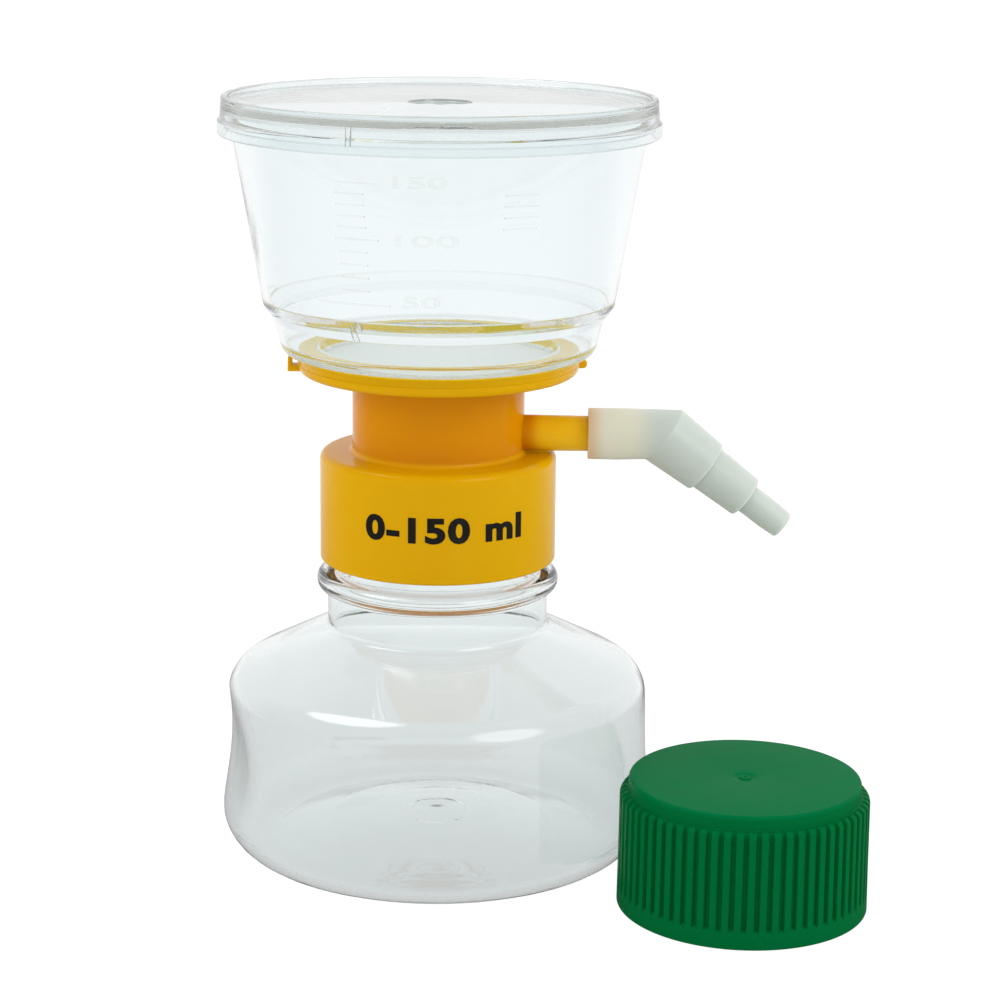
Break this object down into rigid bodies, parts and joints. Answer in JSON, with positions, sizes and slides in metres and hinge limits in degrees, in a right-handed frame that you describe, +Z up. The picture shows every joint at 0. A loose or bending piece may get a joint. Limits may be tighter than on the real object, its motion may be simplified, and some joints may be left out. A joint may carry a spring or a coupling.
{
  "type": "vacuum filtration unit",
  "caption": "Bottle-top vacuum filter with a graduated clear funnel and lid, yellow filter base with side arm and hose adaptor, clear receiver bottle, and the bottle's green screw cap.",
  "frame": {"origin": "centre of the receiver bottle's base, on the surface that it stands on", "axes": "+Z up along the bottle's axis, +X along the side arm"},
  "size_m": [0.1338, 0.1044, 0.158],
  "materials": {
    "clear_lid": "clear moulded polystyrene",
    "clear_funnel": "clear moulded polystyrene",
    "membrane": "matt white filter membrane",
    "yellow_plastic": "glossy yellow moulding",
    "gasket": "soft white sealing ring",
    "milky_plastic": "milky translucent moulding",
    "filter_wool": "white filter wool",
    "clear_bottle": "clear blown polystyrene",
    "green_plastic": "satin green moulding"
  },
  "bodies": {
    "bottle": {"receiver_bottle": "clear_bottle", "storage_cap": "green_plastic"},
    "gasket": {"neck_gasket": "gasket"},
    "head": {"filter_base": "yellow_plastic", "funnel": "clear_funnel", "membrane": "membrane"},
    "lid": {"lid": "clear_lid"},
    "adaptor": {"hose_adaptor": "milky_plastic", "air_filter_plug": "filter_wool"}
  },
  "joints": [
    {"name": "head_lift", "type": "slide", "parent": "bottle", "child": "gasket", "axis": [0, 0, 1], "range_m": [0, 0.006]},
    {"name": "head_turn", "type": "hinge", "parent": "gasket", "child": "head", "pos_m": [0, 0, 0.0812], "axis": [0, 0, 1], "range_deg": [0, 540]},
    {"name": "lid_lift", "type": "slide", "parent": "head", "child": "lid", "axis": [0, 0, 1], "range_m": [0, 0.04]},
    {"name": "adaptor_swivel", "type": "hinge", "parent": "head", "child": "adaptor", "pos_m": [0.0309, 0, 0.08895], "axis": [1, 0, 0], "continuous": true}
  ],
  "couplings": [
    {"joint": "head_lift", "follows": "head_turn", "m_per_rad": 0.0006366}
  ]
}
